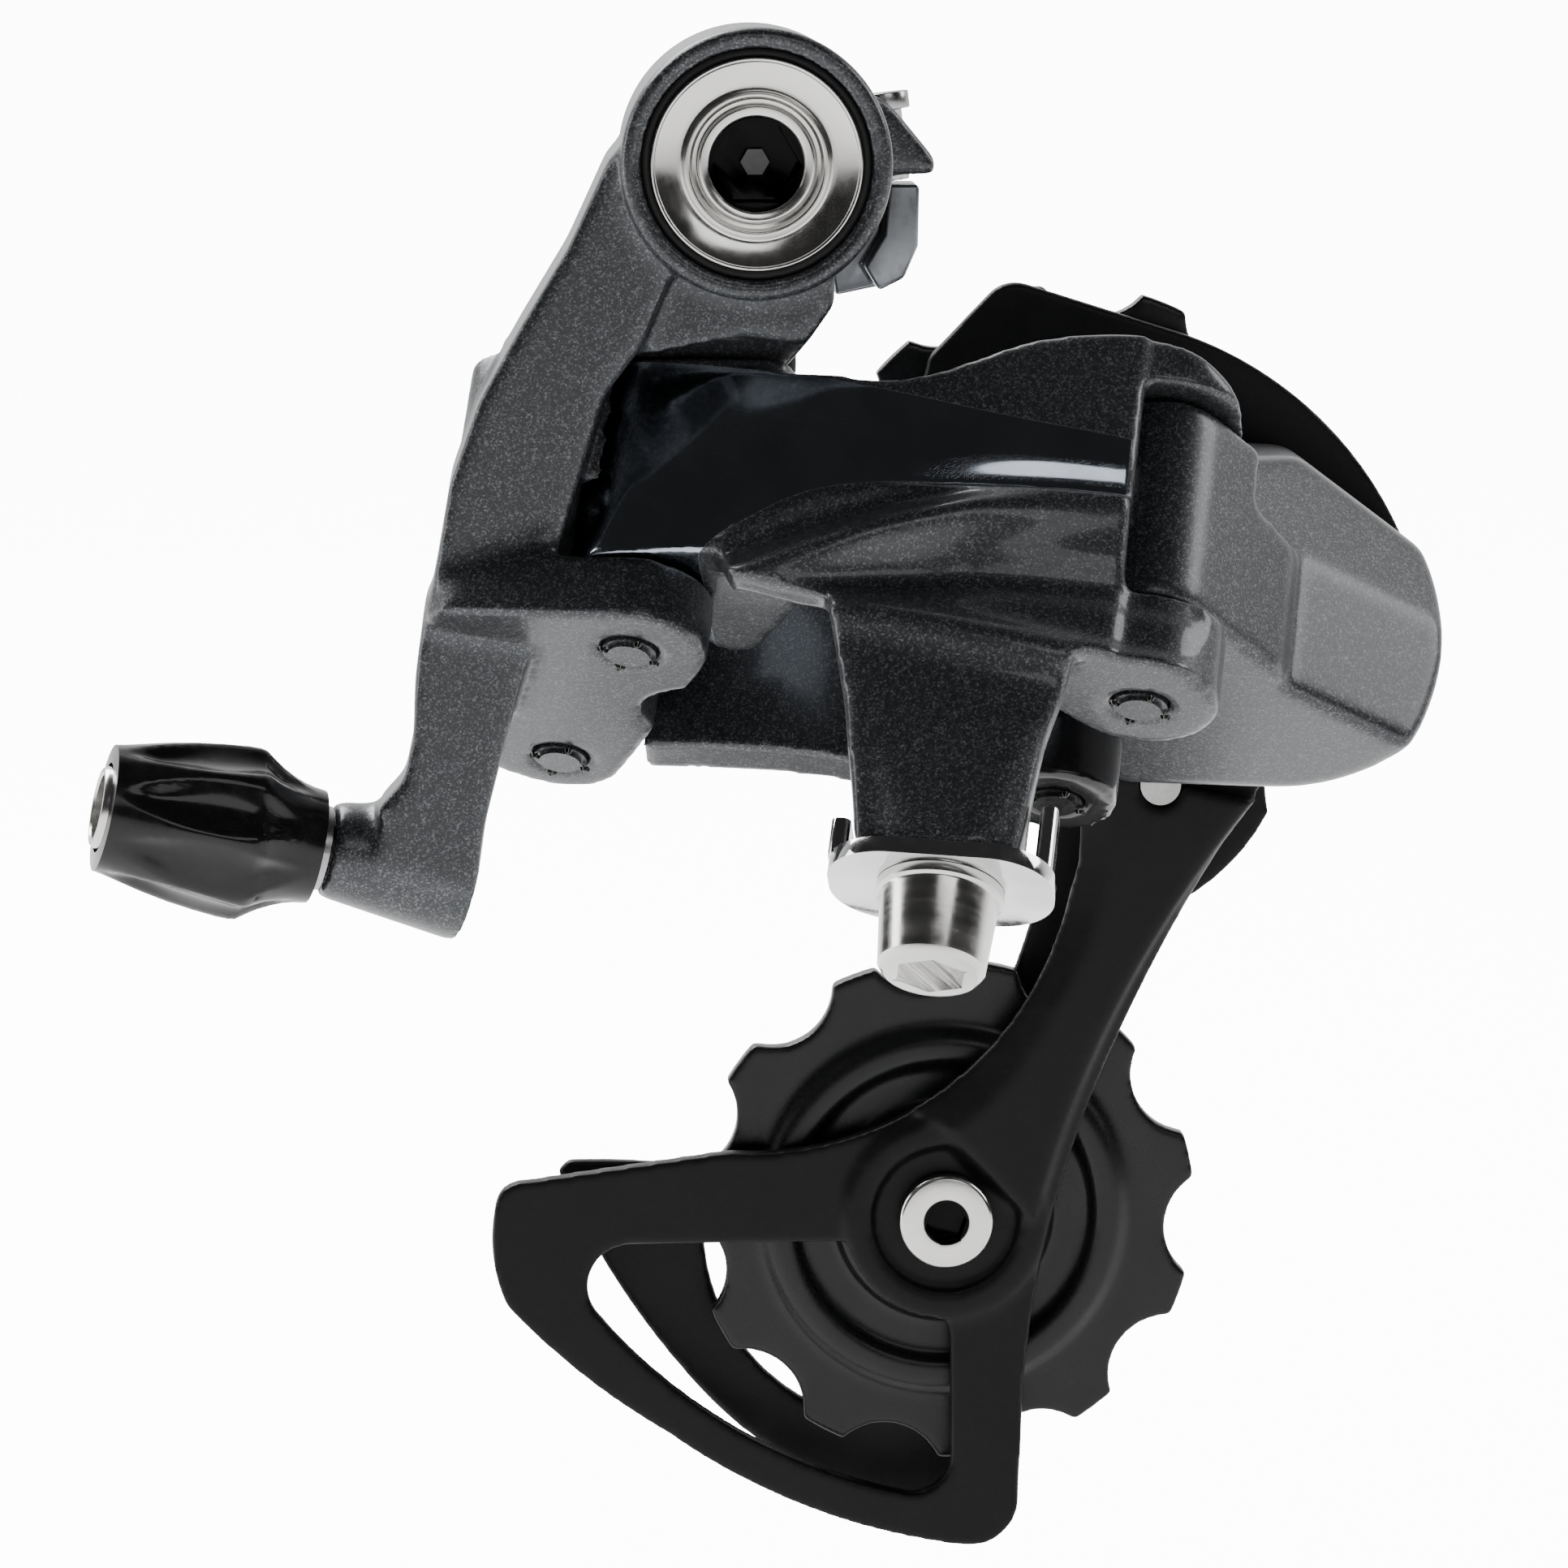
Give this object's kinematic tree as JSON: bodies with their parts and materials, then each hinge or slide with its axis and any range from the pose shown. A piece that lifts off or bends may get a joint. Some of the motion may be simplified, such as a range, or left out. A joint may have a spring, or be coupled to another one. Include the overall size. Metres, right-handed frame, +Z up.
{
  "type": "rear bicycle derailleur",
  "caption": "Rear derailleur for a road bicycle: slanted parallelogram on a hanger bolt, cable adjuster and anchor, and a sprung cage with two toothed chain pulleys.",
  "frame": {"origin": "on the mounting bolt's axis, at the outer face of the hanger it screws into", "axes": "+X forward along the bicycle, +Y inboard towards the wheel, along the mounting bolt, +Z up"},
  "size_m": [0.1095, 0.0698, 0.1291],
  "materials": {
    "knuckle_paint": "satin dark grey paint with fine metallic flake",
    "raw_casting": "raw cast, matt",
    "black_steel": "black oxide",
    "turned_steel": "fine turned, satin",
    "spring_steel": "drawn wire",
    "bronze": "plain bearing bronze",
    "seal_rubber": "matt",
    "chrome_plate": "bright plated",
    "link_alloy": "satin anodised",
    "cage_anodise": "matt black anodised",
    "pulley_resin": "moulded, slightly glossy on the rims",
    "knob_resin": "glossy black"
  },
  "bodies": {
    "mount": {"mounting_bolt": "black_steel", "mount_washer": "turned_steel", "mount_seal": "seal_rubber", "stopper_plate": "raw_casting", "retaining_ring": "turned_steel", "b_spring": "spring_steel"},
    "upper_knuckle": {"b_knuckle": "knuckle_paint", "b_bush": "bronze", "link_pin_b_outer": "turned_steel", "link_pin_b_inner": "turned_steel", "limit_screws": "black_steel", "angle_screw": "turned_steel", "adjuster_click_ring": "spring_steel", "return_spring": "spring_steel"},
    "cable_adjuster": {"adjuster_stem": "turned_steel", "adjuster_knob": "knob_resin"},
    "outer_link": {"outer_link": "knuckle_paint", "anchor_plate": "chrome_plate", "anchor_bolt": "turned_steel", "link_pin_p_outer": "turned_steel"},
    "inner_link": {"inner_link": "link_alloy", "link_pin_p_inner": "turned_steel"},
    "lower_knuckle": {"p_knuckle": "knuckle_paint", "p_bush": "bronze", "p_seal": "seal_rubber", "p_spring": "spring_steel"},
    "cage": {"outer_plate": "cage_anodise", "inner_plate": "cage_anodise", "p_axle": "turned_steel", "cage_stop_screw": "turned_steel", "guide_pulley_bolt": "turned_steel", "guide_pulley_bush": "bronze", "tension_pulley_bolt": "turned_steel", "tension_pulley_bush": "bronze"},
    "guide_pulley": {"guide_pulley": "pulley_resin", "guide_pulley_shields": "turned_steel"},
    "tension_pulley": {"tension_pulley": "pulley_resin", "tension_pulley_shields": "turned_steel"}
  },
  "joints": [
    {"name": "b_pivot", "type": "hinge", "parent": "mount", "child": "upper_knuckle", "pos_m": [0, 0, 0], "axis": [0, -1, 0], "range_deg": [0, 35], "stiffness_Nm_per_rad": 0.4, "springref_deg": -57.3, "deforming": ["b_spring"]},
    {"name": "outer_link_swing", "type": "hinge", "parent": "upper_knuckle", "child": "outer_link", "pos_m": [-0.0101, -0.025, -0.0384], "axis": [0.1368, 0.5592, 0.8177], "range_deg": [0, 62], "stiffness_Nm_per_rad": 0.3, "springref_deg": -57.3},
    {"name": "inner_link_swing", "type": "hinge", "parent": "upper_knuckle", "child": "inner_link", "pos_m": [-0.01549, -0.0083, -0.04892], "axis": [0.1368, 0.5592, 0.8177], "range_deg": [0, 62], "deforming": ["return_spring"]},
    {"name": "lower_knuckle_swing", "type": "hinge", "parent": "outer_link", "child": "lower_knuckle", "pos_m": [0.02987, -0.03183, -0.04042], "axis": [0.1368, 0.5592, 0.8177], "range_deg": [-62, 0]},
    {"name": "cage_pivot", "type": "hinge", "parent": "lower_knuckle", "child": "cage", "pos_m": [0.0428, 0, -0.038], "axis": [0, -1, 0], "range_deg": [0, 100], "stiffness_Nm_per_rad": 0.15, "springref_deg": -85.94, "deforming": ["p_spring"]},
    {"name": "guide_pulley_spin", "type": "hinge", "parent": "cage", "child": "guide_pulley", "pos_m": [0.0273, 0.012, -0.0331], "axis": [0, 1, 0], "continuous": true},
    {"name": "tension_pulley_spin", "type": "hinge", "parent": "cage", "child": "tension_pulley", "pos_m": [0.0169, 0.012, -0.0902], "axis": [0, 1, 0], "continuous": true},
    {"name": "adjuster_spin", "type": "hinge", "parent": "upper_knuckle", "child": "cable_adjuster", "pos_m": [-0.0343, -0.0195, -0.0546], "axis": [-0.9628, -0.17, 0.21], "range_deg": [-180, 1440]}
  ],
  "couplings": [
    {"joint": "inner_link_swing", "follows": "outer_link_swing", "ratio": 1},
    {"joint": "lower_knuckle_swing", "follows": "outer_link_swing", "ratio": -1}
  ]
}
